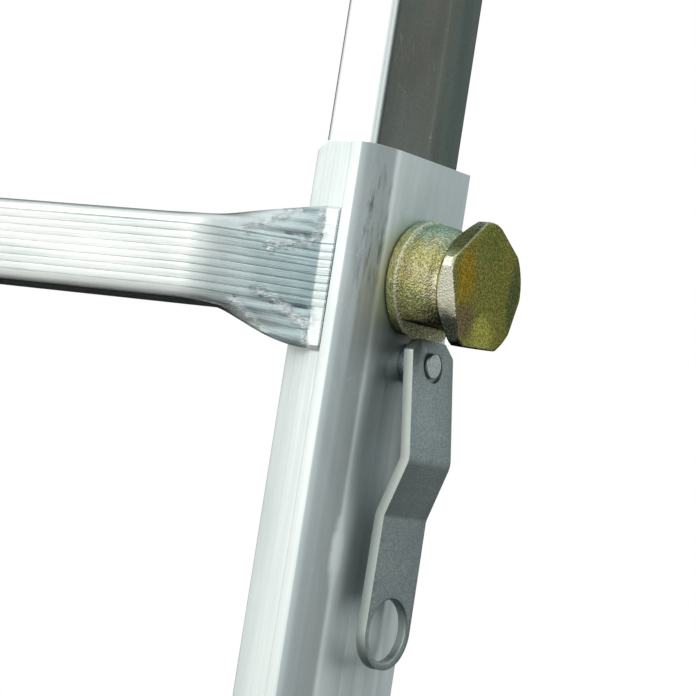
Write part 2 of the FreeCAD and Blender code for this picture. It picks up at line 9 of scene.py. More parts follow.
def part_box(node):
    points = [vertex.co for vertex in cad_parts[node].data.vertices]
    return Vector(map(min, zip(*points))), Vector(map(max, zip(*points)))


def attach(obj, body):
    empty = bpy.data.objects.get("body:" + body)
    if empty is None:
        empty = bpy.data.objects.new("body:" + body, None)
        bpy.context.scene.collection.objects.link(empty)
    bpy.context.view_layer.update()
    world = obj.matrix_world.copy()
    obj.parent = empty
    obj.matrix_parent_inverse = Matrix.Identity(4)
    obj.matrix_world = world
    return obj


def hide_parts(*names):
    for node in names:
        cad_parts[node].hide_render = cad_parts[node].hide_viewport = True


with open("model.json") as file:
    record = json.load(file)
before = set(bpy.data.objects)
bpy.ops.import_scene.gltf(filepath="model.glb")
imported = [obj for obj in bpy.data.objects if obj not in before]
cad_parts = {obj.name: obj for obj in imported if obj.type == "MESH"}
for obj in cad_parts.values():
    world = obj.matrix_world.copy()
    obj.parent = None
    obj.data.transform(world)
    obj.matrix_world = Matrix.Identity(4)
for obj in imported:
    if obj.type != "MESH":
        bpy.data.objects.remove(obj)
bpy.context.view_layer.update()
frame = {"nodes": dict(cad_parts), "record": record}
print("frame loaded")


stileLow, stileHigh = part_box("right_outer_stile")
barrelLow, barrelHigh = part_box("right_lock_barrel")
webX = stileHigh.x                      # outer face of the right web
lock = (barrelLow + barrelHigh) / 2     # lock axis where it leaves the web
lock.x = webX


# nodes and objects

def setInputs(tree, node, inputs):
    for key, value in inputs.items():
        socket = node.inputs[key]
        if isinstance(value, bpy.types.NodeSocket):
            tree.links.new(value, socket)
        elif isinstance(value, tuple) and len(value) < len(socket.default_value):
            socket.default_value = (*value, 1)      # a colour without its alpha
        else:
            socket.default_value = value


def addNode(tree, kind, inputs=None, **settings):
    node = tree.nodes.new("ShaderNode" + kind)
    for key, value in settings.items():
        setattr(node, key, value)
    setInputs(tree, node, inputs or {})
    return node


def calculate(tree, operation, first, second=0.0):
    return addNode(tree, "Math", {0: first, 1: second}, operation=operation).outputs["Value"]


def vectorMath(tree, operation, first, second):
    key = "Scale" if operation == "SCALE" else 1
    node = addNode(tree, "VectorMath", {0: first, key: second}, operation=operation)
    return node.outputs["Vector"]


def multiply(tree, first, *others):
    for other in others:
        first = calculate(tree, "MULTIPLY", first, other)
    return first


def fade(tree, value, low, high, start=0.0, end=1.0, kind="LINEAR"):
    # goes from start to end while the value goes from low to high
    return addNode(tree, "MapRange", {
        "Value": value, "From Min": low, "From Max": high, "To Min": start, "To Max": end,
    }, interpolation_type=kind).outputs["Result"]


def blendValues(tree, mask, low, high):
    return fade(tree, mask, 0.0, 1.0, low, high)


def mixColors(tree, mask, first, second, **settings):
    mix = addNode(tree, "Mix", {0: mask, 6: first, 7: second}, data_type="RGBA", **settings)
    return mix.outputs[2]


def noiseAt(tree, where, scale, detail=2.0, roughness=0.5, distortion=0.0):
    return addNode(tree, "TexNoise", {
        "Vector": where, "Scale": scale, "Detail": detail, "Roughness": roughness,
        "Distortion": distortion,
    }).outputs["Fac"]


def separate(tree, vector):
    outputs = addNode(tree, "SeparateXYZ", {"Vector": vector}).outputs
    return [outputs[axis] for axis in "XYZ"]


def colorRamp(tree, share, stops):
    # stops are (position, colour), lowest first
    ramp = addNode(tree, "ValToRGB", {"Fac": share})
    elements = ramp.color_ramp.elements
    for element, (position, color) in zip(elements, (stops[0], stops[-1])):
        element.position = position
        element.color = (*color, 1)
    for position, color in stops[1:-1]:
        elements.new(position).color = (*color, 1)
    return ramp.outputs["Color"]


def newObject(name, data):
    made = bpy.data.objects.new(name, data)
    bpy.context.scene.collection.objects.link(made)
    return made


def meshObject(name, bm):
    mesh = bpy.data.meshes.new(name)
    bm.to_mesh(mesh)
    bm.free()
    return newObject(name, mesh)


# camera, sky, lights and floor

cameraSetup = {
    "azimuth": 35.74,       # degrees round the right-hand lock
    "elevation": -3.21,
    "roll": 8.87,
    "distance": 0.848,
    "lens": 125.1,
    "sensor": 36.0,
    "aimInFront": 0.0385,   # aim point from the lock axis
    "aimBelow": 0.0289,
}

skySetup = {
    "backdrop": (1.0, 1.0, 1.0),
    "heights": (                       # sine of the height above the horizon, and the tone there
        (-0.50, (0.022, 0.025, 0.025)),
        (-0.12, (0.085, 0.098, 0.098)),
        (0.05, (0.310, 0.375, 0.370)),
        (0.24, (0.175, 0.215, 0.215)),
        (0.55, (0.420, 0.470, 0.460)),
        (0.90, (0.850, 0.900, 0.910)),
    ),
    # parts of the sky: direction, how near to it they begin, strength, tone
    "glow": ((-0.62, -0.76, 0.04), 0.18, 0.82, (1.0, 0.99, 0.955)),     # in front, to the left
    "haze": ((0.60, 0.76, 0.20), 0.55, 0.38, (0.97, 1.0, 0.985)),       # behind, to the right
    "dusk": ((0.72, -0.69, 0.05), 0.45, 0.26, (0.90, 0.97, 1.0)),       # in front, to the right
    "shade": ((-0.64, 0.74, -0.12), 0.25, 0.82),        # dark side behind the ladder
}

lampSetup = {
    "key": {"place": (-1.3, -2.6, 2.7), "size": 1.6, "power": 18.0, "tint": (1.0, 0.98, 0.94)},
    "side": {"place": (2.6, -1.6, 2.2), "size": 1.8, "power": 7.0, "tint": (0.94, 0.98, 1.0)},
}

floorSetup = {"radius": 3.4, "color": (0.86, 0.86, 0.85), "lift": 0.42, "roughness": 0.9}


def addCamera():
    azimuth = math.radians(cameraSetup["azimuth"])
    elevation = math.radians(cameraSetup["elevation"])
    back = Vector((
        math.sin(azimuth) * math.cos(elevation),
        -math.cos(azimuth) * math.cos(elevation),
        math.sin(elevation),
    ))
    aim = lock - Vector((0, cameraSetup["aimInFront"], cameraSetup["aimBelow"]))
    data = bpy.data.cameras.new("camera")
    data.lens = cameraSetup["lens"]
    data.sensor_width = cameraSetup["sensor"]
    data.clip_start = 0.02
    data.clip_end = 60
    camera = newObject("camera", data)
    camera.location = aim + back * cameraSetup["distance"]
    camera.rotation_mode = "QUATERNION"
    roll = Quaternion(back, math.radians(cameraSetup["roll"]))
    camera.rotation_quaternion = roll @ (-back).to_track_quat("-Z", "Y")
    bpy.context.scene.camera = camera


def skyLobe(tree, direction, towards, start, strength):
    towards = Vector(towards).normalized()
    facing = addNode(tree, "VectorMath", {0: direction, 1: towards}, operation="DOT_PRODUCT")
    return fade(tree, facing.outputs["Value"], start, 1.0, 0.0, strength, "SMOOTHSTEP")


def addSky():
    world = bpy.data.worlds.new("studioSky")
    world.use_nodes = True
    tree = world.node_tree
    tree.nodes.clear()
    direction = addNode(tree, "TexCoord").outputs["Generated"]
    heights = skySetup["heights"]
    lowest, highest = heights[0][0], heights[-1][0]
    climb = fade(tree, separate(tree, direction)[2], lowest, highest)
    span = highest - lowest
    sky = colorRamp(tree, climb, [((level - lowest) / span, tone) for level, tone in heights])
    kept = calculate(tree, "SUBTRACT", 1.0, skyLobe(tree, direction, *skySetup["shade"]))
    sky = vectorMath(tree, "SCALE", sky, kept)
    for name in ("glow", "haze", "dusk"):
        *lobe, tone = skySetup[name]
        pale = vectorMath(tree, "SCALE", tone, skyLobe(tree, direction, *lobe))
        sky = vectorMath(tree, "ADD", sky, pale)
    lighting = addNode(tree, "Background", {"Color": sky}).outputs["Background"]
    backdrop = addNode(tree, "Background", {"Color": skySetup["backdrop"]}).outputs["Background"]
    seen = addNode(tree, "LightPath").outputs["Is Camera Ray"]
    mixed = addNode(tree, "MixShader", {"Fac": seen, 1: lighting, 2: backdrop})
    addNode(tree, "OutputWorld", {"Surface": mixed.outputs["Shader"]})
    bpy.context.scene.world = world
    bpy.context.scene.view_settings.view_transform = "Standard"


def addLamps():
    for name, setup in lampSetup.items():
        data = bpy.data.lights.new(name, "AREA")
        data.size = setup["size"]
        data.energy = setup["power"]
        data.color = setup["tint"]
        lamp = newObject(name, data)
        lamp.location = setup["place"]
        lamp.rotation_mode = "QUATERNION"
        lamp.rotation_quaternion = (lock - lamp.location).to_track_quat("-Z", "Y")
        lamp.visible_camera = False


def addFloor():
    bm = bmesh.new()
    bmesh.ops.create_circle(bm, cap_ends=True, segments=96, radius=floorSetup["radius"])
    floor = meshObject("floor", bm)
    material = bpy.data.materials.new("paleFloor")
    material.use_nodes = True
    tree = material.node_tree
    setInputs(tree, tree.nodes["Principled BSDF"], {
        "Base Color": floorSetup["color"],
        "Roughness": floorSetup["roughness"],
        "Emission Color": floorSetup["color"],
        "Emission Strength": floorSetup["lift"],
    })
    floor.data.materials.append(material)
    floor.visible_glossy = False
    floor.visible_diffuse = False


addCamera()
addSky()
addLamps()
addFloor()
print("camera, sky, lights and floor")


# effects that several finishes share

def newGroup(name, inputs, outputs):
    group = bpy.data.node_groups.new(name, "ShaderNodeTree")
    group.interface.new_socket("Vector", in_out="INPUT", socket_type="NodeSocketVector")
    for label, value in inputs.items():
        kind = "NodeSocketVector" if isinstance(value, tuple) else "NodeSocketFloat"
        group.interface.new_socket(label, in_out="INPUT", socket_type=kind).default_value = value
    for label in outputs:
        group.interface.new_socket(label, in_out="OUTPUT", socket_type="NodeSocketFloat")
    source = group.nodes.new("NodeGroupInput")
    target = group.nodes.new("NodeGroupOutput")
    return group, source.outputs, target


def placeGroup(tree, group, where, inputs):
    return addNode(tree, "Group", {"Vector": where, **inputs}, node_tree=group).outputs


def makeDrawnLines():
    # fine lines along the direction in which a profile was drawn
    group, given, result = newGroup("drawnLines", {
        "Stretch": (1200.0, 1200.0, 2.0),
    }, ["Fine", "Broad"])
    along = vectorMath(group, "MULTIPLY", given["Vector"], given["Stretch"])
    setInputs(group, result, {"Fine": noiseAt(group, along, 1.0, 4.0, 0.7)})
    setInputs(group, result, {"Broad": noiseAt(group, along, 0.16)})
    return group


def makeScratches():
    # thin straight scuffs in patches
    group, given, result = newGroup("scratches", {
        "Scale": 40.0,
        "Angle": 0.4,
        "Amount": 0.5,
    }, ["Mask"])
    masks = []
    for turn, lengthen in ((1.0, 0.07), (-1.7, 0.11)):
        turned = addNode(group, "VectorRotate", {
            "Vector": given["Vector"],
            "Axis": (1.0, 0.3, 0.1),
            "Angle": multiply(group, given["Angle"], turn),
        }).outputs["Vector"]
        stretched = vectorMath(group, "MULTIPLY", turned, (1.0, 1.0, lengthen))
        cells = addNode(group, "TexVoronoi", {"Vector": stretched, "Scale": given["Scale"]},
                        feature="DISTANCE_TO_EDGE")
        masks.append(fade(group, cells.outputs["Distance"], 0.0, 0.012, 1.0, 0.0))
    patches = noiseAt(group, given["Vector"], 55.0, 3.0)
    limit = calculate(group, "SUBTRACT", 0.78, given["Amount"])
    shown = calculate(group, "GREATER_THAN", patches, limit)
    setInputs(group, result, {"Mask": multiply(group, calculate(group, "MAXIMUM", *masks), shown)})
    return group


def makeEdgeWear():
    # where a corner has been rubbed bright
    group, given, result = newGroup("edgeWear", {
        "Radius": 0.0008,
        "Roughness": 900.0,
    }, ["Mask"])
    rounded = addNode(group, "Bevel", {"Radius": given["Radius"]}, samples=6).outputs["Normal"]
    flat = addNode(group, "NewGeometry").outputs["Normal"]
    same = addNode(group, "VectorMath", {0: rounded, 1: flat}, operation="DOT_PRODUCT")
    corner = fade(group, same.outputs["Value"], 0.80, 0.995, 1.0, 0.0)
    patchy = fade(group, noiseAt(group, given["Vector"], given["Roughness"], 3.0), 0.35, 0.6)
    setInputs(group, result, {"Mask": multiply(group, corner, patchy)})
    return group


def makeGrain():
    # speckle of a cast or plated skin, at two sizes
    group, given, result = newGroup("grain", {
        "Scale": 1500.0,
    }, ["Speckle", "Height"])
    small = noiseAt(group, given["Vector"], given["Scale"], 2.0, 0.6)
    coarse = multiply(group, given["Scale"], 0.45)
    pits = addNode(group, "TexVoronoi", {"Vector": given["Vector"], "Scale": coarse})
    both = calculate(group, "ADD", small, pits.outputs["Distance"])
    setInputs(group, result, {"Speckle": fade(group, both, 0.55, 1.25)})
    setInputs(group, result, {"Height": both})
    return group


def makeBlotches():
    # slow changes of tone, as on handled or weathered metal
    group, given, result = newGroup("blotches", {
        "Scale": 30.0,
        "Stretch": (1.0, 1.0, 0.35),
    }, ["Value"])
    along = vectorMath(group, "MULTIPLY", given["Vector"], given["Stretch"])
    slow = noiseAt(group, along, given["Scale"], 5.0, 0.62, 0.6)
    setInputs(group, result, {"Value": fade(group, slow, 0.32, 0.68)})
    return group


def makePatch():
    # one soft, ragged spot round a place
    group, given, result = newGroup("patch", {
        "Place": (0.0, 0.0, 0.0),
        "Squeeze": (1.0, 1.0, 1.0),
        "Reach": 0.01,
        "Ragged": 0.5,
    }, ["Mask"])
    away = vectorMath(group, "SUBTRACT", given["Vector"], given["Place"])
    away = vectorMath(group, "MULTIPLY", away, given["Squeeze"])
    length = addNode(group, "VectorMath", {0: away}, operation="LENGTH").outputs["Value"]
    ragged = blendValues(group, noiseAt(group, given["Vector"], 260.0, 4.0, 0.65), -1.0, 1.0)
    share = calculate(group, "ADD", calculate(group, "DIVIDE", length, given["Reach"]),
                      multiply(group, ragged, given["Ragged"]))
    setInputs(group, result, {"Mask": fade(group, share, 0.35, 1.0, 1.0, 0.0, "SMOOTHSTEP")})
    return group


drawnLines = makeDrawnLines()
scratches = makeScratches()
edgeWear = makeEdgeWear()
grain = makeGrain()
blotches = makeBlotches()
patch = makePatch()
print("shared effects")


# finishes

def newFinish(name):
    material = bpy.data.materials.new(name)
    material.use_nodes = True
    return material, material.node_tree, addNode(material.node_tree, "TexCoord").outputs


def band(tree, value, origin, limits):
    # 1 between two limits from the origin, fading at both ends over the third number
    low, high, soft = origin + limits[0], origin + limits[1], limits[2]
    return multiply(tree, fade(tree, value, low - soft, low + soft, 0.0, 1.0, "SMOOTHSTEP"),
                    fade(tree, value, high - soft, high + soft, 1.0, 0.0, "SMOOTHSTEP"))


def spot(tree, where, place, squeeze, reach, ragged):
    return placeGroup(tree, patch, where, {
        "Place": place, "Squeeze": squeeze, "Reach": reach, "Ragged": ragged})["Mask"]


def setShader(tree, color, mask, roughness, height, bump, metallic=1.0):
    # roughness is what the mask goes between, bump its strength and distance
    shader = tree.nodes["Principled BSDF"]
    strength, distance = bump
    bumped = addNode(tree, "Bump", {"Height": height, "Strength": strength, "Distance": distance})
    setInputs(tree, shader, {
        "Base Color": color,
        "Roughness": blendValues(tree, mask, *roughness),
        "Metallic": metallic,
        "Normal": bumped.outputs["Normal"],
    })
    return shader


def commonMasks(tree, where, finish):
    tone = placeGroup(tree, blotches, where, finish["tone"])["Value"]
    marks = placeGroup(tree, scratches, where, finish["marks"])["Mask"]
    rubbed = placeGroup(tree, edgeWear, where, finish["rubbed"])["Mask"]
    return tone, marks, rubbed


stileFinish = {
    "light": (0.79, 0.82, 0.815),
    "dull": (0.60, 0.655, 0.655),
    "scuff": (0.10, 0.12, 0.125),
    "worn": (0.93, 0.94, 0.94),
    # painted highlight colour for the bend
    "paintedBendHighlight": (0.96, 0.975, 0.98),
    # painted shade colour for thin lines at the crease and at the panel's edge
    "dirt": (0.24, 0.26, 0.25),
    "roughness": (0.46, 0.62),
    "bump": (0.2, 0.0001),
    "drawn": {"Stretch": (1500.0, 1500.0, 2.2)},
    "tone": {"Scale": 34.0, "Stretch": (1.0, 1.0, 0.22)},
    "marks": {"Scale": 150.0, "Angle": 0.35, "Amount": 0.17},
    "rubbed": {"Radius": 0.0007},
    "streaks": (300.0, 420.0, 75.0),
    # bands, each with how softly it fades; depths are behind the ridge
    "scuffHeight": (-0.050, -0.008, 0.012),     # dark rubs, from the stile's top
    "scuffDepth": (0.004, 0.0145, 0.0022),
    "slopeDepth": (0.0016, 0.0140, 0.0012),     # the leaning face, with painted shade
    "bendDepth": (0.0146, 0.0166, 0.0011),      # where it turns into the web, with a painted highlight
    "panelDepth": (0.0019, 0.0023, 0.0032),     # the panel starts, is full, is left
    "slopeShade": 0.72,
    "slopeWidth": 0.0056,               # from the web
    "foot": 0.0107,                     # from the web: the crease, where a painted shade line lies
    # painted shade lines on the panel: how strong, and the band from the foot or the edge
    "footLines": ((1.0, (-0.00012, 0.00012, 0.0001)), (0.45, (-0.0016, -0.0014, 0.00012))),
    "edgeLine": (0.8, (-0.0010, 0.00045, 0.00014)),
    # painted highlight, a bright spot on the bend: behind the ridge, below the lock, squeeze,
    # reach, raggedness
    "gleam": (0.0150, 0.1000, (0.3, 1.9, 0.55), 0.0085, 0.25),
}


def makeStileAluminium():
    material, tree, place = newFinish("stileAluminium")
    finish = stileFinish
    where = place["Object"]
    lines = placeGroup(tree, drawnLines, where, finish["drawn"])
    tone, marks, rubbed = commonMasks(tree, where, finish)
    drawnOut = vectorMath(tree, "MULTIPLY", where, finish["streaks"])
    streak = noiseAt(tree, drawnOut, 1.0, 5.0, 0.7)
    sideways, depth, height = separate(tree, where)
    across = calculate(tree, "ABSOLUTE", sideways)
    front = stileLow.y
    shade = fade(tree, multiply(tree, lines["Fine"], tone), 0.05, 0.55)
    color = mixColors(tree, shade, finish["dull"], finish["light"])

    # painted shade: the leaning face is drawn darker
    slope = multiply(tree, band(tree, depth, front, finish["slopeDepth"]),
                     calculate(tree, "GREATER_THAN", across, webX - finish["slopeWidth"]))
    paintedSlopeShade = mixColors(tree, slope, (1.0, 1.0, 1.0), (finish["slopeShade"],) * 3)
    color = mixColors(tree, 1.0, color, paintedSlopeShade, blend_type="MULTIPLY")

    # painted highlight: a bright stripe along the bend
    bend = multiply(tree, band(tree, depth, front, finish["bendDepth"]),
                    blendValues(tree, lines["Broad"], 0.45, 1.0))
    color = mixColors(tree, bend, color, finish["paintedBendHighlight"])
    # painted highlight: a bright spot on the bend
    behind, below, squeeze, reach, ragged = finish["gleam"]
    gleam = spot(tree, where, (webX, front + behind, lock.z - below), squeeze, reach, ragged)
    color = mixColors(tree, gleam, color, finish["paintedBendHighlight"])

    # painted shade: thin dark lines at the crease and at the panel's edge
    foot = webX - finish["foot"]
    paintedShadeLines = [(foot, line) for line in finish["footLines"]] + [(stileLow.x, finish["edgeLine"])]
    crease = 0.0
    for start, (strength, limits) in paintedShadeLines:
        line = multiply(tree, strength, band(tree, across, start, limits))
        crease = calculate(tree, "MAXIMUM", crease, line)
    near, full, far = finish["panelDepth"]
    onPanel = multiply(tree, fade(tree, depth, front + near, front + full),
                       calculate(tree, "LESS_THAN", depth, front + far))
    paintedShadeMask = multiply(tree, crease, blendValues(tree, streak, 0.3, 1.0), onPanel)
    color = mixColors(tree, paintedShadeMask, color, finish["dirt"])

    scuff = multiply(tree, band(tree, height, stileHigh.z, finish["scuffHeight"]),
                     band(tree, depth, front, finish["scuffDepth"]),
                     fade(tree, streak, 0.50, 0.66), 0.8)
    color = mixColors(tree, scuff, color, finish["scuff"])
    for mask, strength in ((marks, 0.22), (rubbed, 0.5)):
        color = mixColors(tree, multiply(tree, mask, strength), color, finish["worn"])
    relief = calculate(tree, "SUBTRACT", lines["Fine"], multiply(tree, marks, 0.3))
    setShader(tree, color, lines["Broad"], finish["roughness"], relief, finish["bump"])
    return material


rungFinish = {
    "light": (0.92, 0.93, 0.92),
    "dull": (0.68, 0.72, 0.71),
    "pressed": (0.76, 0.87, 0.90),      # painted reflection: cooler and darker where it is crushed
    "glint": (0.98, 0.99, 1.0),
    "roughness": (0.20, 0.36),
    "bump": (0.6, 0.00009),
    "drawn": {"Stretch": (3.0, 3200.0, 1.0)},
    "folds": {"Stretch": (38.0, 1150.0, 1.0)},
    "tone": {"Scale": 40.0, "Stretch": (0.25, 1.0, 1.0)},
    "creases": (900.0, 1700.0, 1.0),
    "crease": 22.0,             # heights, against that of the drawn lines
    "fold": 1.8,
    "pressedFold": 5.0,
}


def makeRungAluminium():
    material, tree, place = newFinish("rungAluminium")
    finish = rungFinish
    where = place["Object"]
    girth, crushed, pressed = [addNode(tree, "Attribute", attribute_name=name).outputs["Fac"]
                               for name in ("girth", "crush", "pressed")]
    alongX = separate(tree, where)[0]
    wrapped = addNode(tree, "CombineXYZ", {"X": alongX, "Y": girth}).outputs["Vector"]
    lines = placeGroup(tree, drawnLines, wrapped, finish["drawn"])
    folds = placeGroup(tree, drawnLines, wrapped, finish["folds"])["Fine"]
    tone = placeGroup(tree, blotches, where, finish["tone"])["Value"]
    shade = fade(tree, multiply(tree, lines["Fine"], tone), 0.05, 0.5)
    color = mixColors(tree, shade, finish["dull"], finish["light"])
    # painted reflection: the crushed end is tinted cooler and darker
    color = mixColors(tree, pressed, color, finish["pressed"], blend_type="MULTIPLY")
    finer = vectorMath(tree, "MULTIPLY", wrapped, finish["creases"])
    creased = multiply(tree, noiseAt(tree, finer, 1.0, 3.0, 0.65), crushed)
    color = mixColors(tree, fade(tree, creased, 0.28, 0.42), color, finish["glint"])
    fold = multiply(tree, folds, blendValues(tree, pressed, finish["fold"], finish["pressedFold"]))
    crease = multiply(tree, creased, finish["crease"])
    relief = calculate(tree, "ADD", calculate(tree, "ADD", lines["Fine"], crease), fold)
    setShader(tree, color, lines["Broad"], finish["roughness"], relief, finish["bump"])
    return material


innerFinish = {
    "front": (0.88, 0.89, 0.885),
    "side": (0.118, 0.122, 0.108),      # weathered where it runs inside the outer stile
    "sideLight": (0.25, 0.27, 0.255),
    "sideBrown": (0.21, 0.185, 0.135),
    "sideTeal": (0.095, 0.135, 0.13),
    "speck": (0.05, 0.055, 0.05),
    "worn": (0.85, 0.87, 0.86),
    "roughness": (0.14, 0.30),
    "bump": (0.2, 0.0001),
    "drawn": {"Stretch": (900.0, 900.0, 1.4)},
    "tone": {"Scale": 26.0, "Stretch": (1.0, 1.0, 0.30)},
    "stain": {"Scale": 15.0, "Stretch": (1.0, 1.6, 0.5)},
    "marks": {"Scale": 130.0, "Angle": 0.25, "Amount": 0.14},
    "rubbed": {"Radius": 0.0009},
    "specks": {"Scale": 2600.0},
    # depths behind the lock axis
    "streakDepth": (0.002, 0.010, 0.005),
    "tealDepth": (-0.014, 0.006),
    "rubbedDepth": (-0.0035, -0.0022, 0.0012),
}


def makeInnerAluminium():
    material, tree, place = newFinish("innerAluminium")
    finish = innerFinish
    where = place["Object"]
    lines = placeGroup(tree, drawnLines, where, finish["drawn"])
    tone, marks, rubbed = commonMasks(tree, where, finish)
    sideways, depth = separate(tree, where)[:2]
    outwards = multiply(tree, separate(tree, place["Normal"])[0], calculate(tree, "SIGN", sideways))

    streak = band(tree, depth, lock.y, finish["streakDepth"])
    glint = multiply(tree, calculate(tree, "MAXIMUM", streak, tone), lines["Broad"])
    weathered = mixColors(tree, glint, finish["side"], finish["sideLight"])
    near, far = finish["tealDepth"]
    backward = fade(tree, depth, lock.y + near, lock.y + far)
    weathered = mixColors(tree, multiply(tree, backward, 0.6), weathered, finish["sideTeal"])
    stain = fade(tree, placeGroup(tree, blotches, where, finish["stain"])["Value"], 0.55, 0.95)
    brown = multiply(tree, stain, blendValues(tree, backward, 0.75, 0.2))
    weathered = mixColors(tree, brown, weathered, finish["sideBrown"])
    rubbedLine = multiply(tree, band(tree, depth, lock.y, finish["rubbedDepth"]),
                          blendValues(tree, lines["Fine"], 0.1, 0.9))
    weathered = mixColors(tree, rubbedLine, weathered, finish["sideLight"])
    speck = placeGroup(tree, grain, where, finish["specks"])["Speckle"]
    weathered = mixColors(tree, blendValues(tree, speck, 0.35, 0.0), weathered, finish["speck"])

    color = mixColors(tree, fade(tree, outwards, 0.55, 0.9), finish["front"], weathered)
    worn = multiply(tree, calculate(tree, "MAXIMUM", marks, rubbed), 0.22)
    color = mixColors(tree, worn, color, finish["worn"])
    setShader(tree, color, lines["Broad"], finish["roughness"], lines["Fine"], finish["bump"])
    return material


knobFinish = {
    "worn": (0.84, 0.86, 0.80),
    "roughness": (0.28, 0.14),
    "bump": (1.0, 0.00030),
    "skin": {"Scale": 3000.0},
    "rubbed": {"Radius": 0.0014, "Roughness": 500.0},
    "bands": (                          # plating colours along a slow noise
        (0.30, (0.44, 0.49, 0.28)),
        (0.42, (0.48, 0.48, 0.21)),
        (0.52, (0.64, 0.59, 0.25)),
        (0.60, (0.58, 0.49, 0.25)),
        (0.70, (0.76, 0.75, 0.40)),
    ),
    "face": (0.27, 0.255, 0.085),
    "rim": (0.97, 0.95, 0.74),          # painted highlight, a bright line where the lip steps down
    "rimAt": (0.0040, 0.0050, 0.0004),
    # painted reflection and painted shade on the sides, pale on top and dark below; each: place
    # from the lock axis, squeeze, reach, colour, strength
    "sidePaintedLight": (
        ((0.008, -0.005, 0.0215), (0.6, 1.0, 1.0), 0.0195, (0.54, 0.70, 0.56), 0.92),
        ((0.009, -0.007, -0.0215), (0.6, 1.0, 1.0), 0.0170, (0.12, 0.13, 0.10), 0.95),
        ((0.0250, -0.0140, -0.0180), (1.0, 1.0, 1.0), 0.0150, (0.06, 0.07, 0.06), 0.97),
        ((0.0255, -0.0140, 0.0160), (1.0, 1.0, 1.0), 0.0120, (0.30, 0.31, 0.16), 0.85),
    ),
    # painted highlight: a pale cream spot on the cap's front flat, laid over the speckle
    "facetPaintedHighlight": (
        ((0.0262, -0.0215, -0.0010), (1.0, 1.0, 1.0), 0.0140, (1.0, 0.98, 0.78), 1.0),
    ),
    # patches of colour on the face, with the same columns
    "faceTints": (
        ((0.0285, -0.0140, 0.0030), (1.0, 1.3, 0.7), 0.0105, (0.44, 0.30, 0.055), 0.85),
        ((0.0285, 0.0010, 0.0160), (1.0, 1.0, 1.0), 0.0110, (0.25, 0.26, 0.095), 0.80),
        ((0.0285, -0.0110, -0.0125), (1.0, 1.0, 1.0), 0.0090, (0.25, 0.18, 0.12), 0.80),
        ((0.0285, 0.0015, -0.0165), (1.0, 1.0, 1.0), 0.0100, (0.55, 0.51, 0.15), 0.80),
        ((0.0285, 0.0190, 0.0000), (1.0, 1.5, 0.5), 0.0090, (0.14, 0.17, 0.09), 0.80),
    ),
    "wornEdge": ((0.0280, -0.0130, 0.0165), (1.0, 1.0, 1.0), 0.0200, 0.3),
}


def addTints(tree, color, local, surface, tints):
    for place, squeeze, reach, tone, strength in tints:
        mask = spot(tree, local, place, squeeze, reach, 0.45)
        color = mixColors(tree, multiply(tree, surface, strength, mask), color, tone)
    return color


def makeYellowChromate():
    material, tree, place = newFinish("yellowChromate")
    finish = knobFinish
    where = place["Object"]
    skin = placeGroup(tree, grain, where, finish["skin"])
    rubbed = placeGroup(tree, edgeWear, where, finish["rubbed"])["Mask"]
    outwards = addNode(tree, "VectorMath", {0: where}, operation="ABSOLUTE").outputs["Vector"]
    local = vectorMath(tree, "SUBTRACT", outwards, lock)
    facing = fade(tree, calculate(tree, "ABSOLUTE", separate(tree, place["Normal"])[0]), 0.60, 0.85)
    sideways = calculate(tree, "SUBTRACT", 1.0, facing)
    plating = colorRamp(tree, noiseAt(tree, where, 38.0, 2.0, 0.5, 0.8), finish["bands"])
    color = mixColors(tree, multiply(tree, facing, 0.9), plating, finish["face"])
    # painted reflection on the top and painted shade below
    color = addTints(tree, color, local, sideways, finish["sidePaintedLight"])
    color = addTints(tree, color, local, facing, finish["faceTints"])
    # painted highlight where the lip steps down
    rim = multiply(tree, band(tree, separate(tree, local)[0], 0.0, finish["rimAt"]), 0.6)
    color = mixColors(tree, rim, color, finish["rim"])
    speckled = blendValues(tree, skin["Speckle"], 0.25, 1.25)
    color = mixColors(tree, 0.8, color, speckled, blend_type="MULTIPLY")
    # painted highlight on the cap's front flat
    color = addTints(tree, color, local, sideways, finish["facetPaintedHighlight"])
    bright = spot(tree, local, *finish["wornEdge"])
    worn = multiply(tree, rubbed, blendValues(tree, bright, 0.35, 1.0))
    color = mixColors(tree, worn, color, finish["worn"])
    sand = addNode(tree, "Attribute", attribute_name="sand").outputs["Fac"]
    relief = multiply(tree, skin["Height"], sand)
    shader = setShader(tree, color, skin["Speckle"], finish["roughness"], relief, finish["bump"])
    setInputs(tree, shader, {"Specular Tint": color})
    return material


leverFinish = {
    "face": (0.24, 0.275, 0.28),
    "faceLight": (0.42, 0.465, 0.465),
    "sheared": (0.60, 0.63, 0.60),      # the cut edge of the plate
    "worn": (0.70, 0.73, 0.71),
    "roughness": (0.60, 0.42),
    "bump": (0.3, 0.00008),
    "skin": {"Scale": 3600.0},
    "tone": {"Scale": 45.0, "Stretch": (1.0, 1.0, 0.8)},
    "marks": {"Scale": 120.0, "Angle": 0.9, "Amount": 0.17},
    "rubbed": {"Radius": 0.0008},
}


def makeLeverZinc():
    material, tree, place = newFinish("leverZinc")
    finish = leverFinish
    where = place["Object"]
    skin = placeGroup(tree, grain, where, finish["skin"])
    tone, marks, rubbed = commonMasks(tree, where, finish)
    shade = multiply(tree, skin["Speckle"], blendValues(tree, tone, 0.5, 1.0))
    color = mixColors(tree, shade, finish["face"], finish["faceLight"])
    across = calculate(tree, "ABSOLUTE", separate(tree, place["Normal"])[1])
    color = mixColors(tree, fade(tree, across, 0.55, 0.85), color, finish["sheared"])
    worn = multiply(tree, calculate(tree, "MAXIMUM", marks, rubbed), 0.3)
    color = mixColors(tree, worn, color, finish["worn"])
    setShader(tree, color, skin["Speckle"], finish["roughness"], skin["Height"], finish["bump"])
    return material


